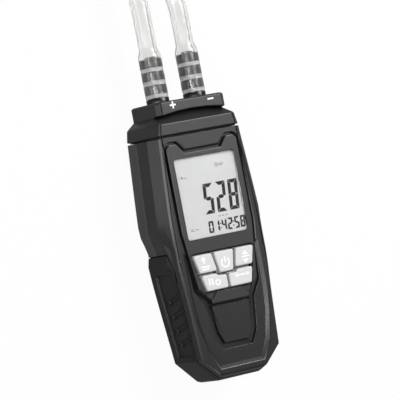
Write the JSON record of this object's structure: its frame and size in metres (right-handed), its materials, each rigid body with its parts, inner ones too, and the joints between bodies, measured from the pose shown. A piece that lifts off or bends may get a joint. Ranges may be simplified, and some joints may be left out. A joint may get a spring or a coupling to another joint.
{
  "type": "differential pressure meter",
  "caption": "Handheld differential pressure meter: display, sprung keys, ribbed rubber grips, barbed hose ports and their clear hoses.",
  "frame": {"origin": "centre of the meter and its nozzles in plan, on the plane that its back rests on", "axes": "+X across the meter with the display read upright from above, +Y along the meter towards the hose ports, +Z out of the display"},
  "size_m": [0.0914, 0.3905, 0.0357],
  "materials": {
    "abs_black": "satin moulded ABS",
    "rubber_black": "matt moulded elastomer",
    "bezel_grey": "satin moulded ABS",
    "clear_pane": "polished clear acrylic",
    "display_grey": "reflective liquid crystal display",
    "key_grey": "satin keys",
    "board_green": "solder mask",
    "chip_black": "moulded",
    "nozzle_black": "moulded",
    "hose_clear": "clear soft tube",
    "cell_jacket": "foil jacket",
    "spring_steel": "nickel-plated",
    "screw_steel": "zinc-plated"
  },
  "bodies": {
    "meter": {"front_shell": "abs_black", "rear_shell": "abs_black", "head_cap": "abs_black", "battery_cover": "abs_black", "grip_boot": "rubber_black", "cap_gasket": "rubber_black", "key_mat": "rubber_black", "bezel_panel": "bezel_grey", "lcd_window": "clear_pane", "lcd_module": "display_grey", "main_board": "board_green", "pressure_sensor": "chip_black", "nozzle_plus": "nozzle_black", "nozzle_minus": "nozzle_black", "nozzle_nut_plus": "nozzle_black", "nozzle_nut_minus": "nozzle_black", "hose_end_plus": "hose_clear", "hose_end_minus": "hose_clear", "hose_plus": "hose_clear", "hose_minus": "hose_clear", "sensor_tube_plus": "hose_clear", "sensor_tube_minus": "hose_clear", "battery_1": "cell_jacket", "battery_2": "cell_jacket", "battery_3": "cell_jacket", "battery_spring_1": "spring_steel", "battery_spring_2": "spring_steel", "battery_spring_3": "spring_steel", "battery_contact_1": "spring_steel", "battery_contact_2": "spring_steel", "battery_contact_3": "spring_steel", "battery_cover_screw": "screw_steel", "rear_screw_1": "screw_steel", "rear_screw_2": "screw_steel", "rear_screw_3": "screw_steel", "rear_screw_4": "screw_steel"},
    "key_body_lamp": {"key_lamp": "key_grey"},
    "key_body_power": {"key_power": "key_grey"},
    "key_body_peak": {"key_peak": "key_grey"},
    "key_body_hold": {"key_hold": "key_grey"},
    "key_body_units": {"key_units": "key_grey"}
  },
  "joints": [
    {"name": "lamp_press", "type": "slide", "parent": "meter", "child": "key_body_lamp", "axis": [0, 0, -1], "range_m": [0, 0.0008], "stiffness_N_per_m": 1500},
    {"name": "power_press", "type": "slide", "parent": "meter", "child": "key_body_power", "axis": [0, 0, -1], "range_m": [0, 0.0008], "stiffness_N_per_m": 1500},
    {"name": "peak_press", "type": "slide", "parent": "meter", "child": "key_body_peak", "axis": [0, 0, -1], "range_m": [0, 0.0008], "stiffness_N_per_m": 1500},
    {"name": "hold_press", "type": "slide", "parent": "meter", "child": "key_body_hold", "axis": [0, 0, -1], "range_m": [0, 0.0008], "stiffness_N_per_m": 1500},
    {"name": "units_press", "type": "slide", "parent": "meter", "child": "key_body_units", "axis": [0, 0, -1], "range_m": [0, 0.0008], "stiffness_N_per_m": 1500}
  ]
}
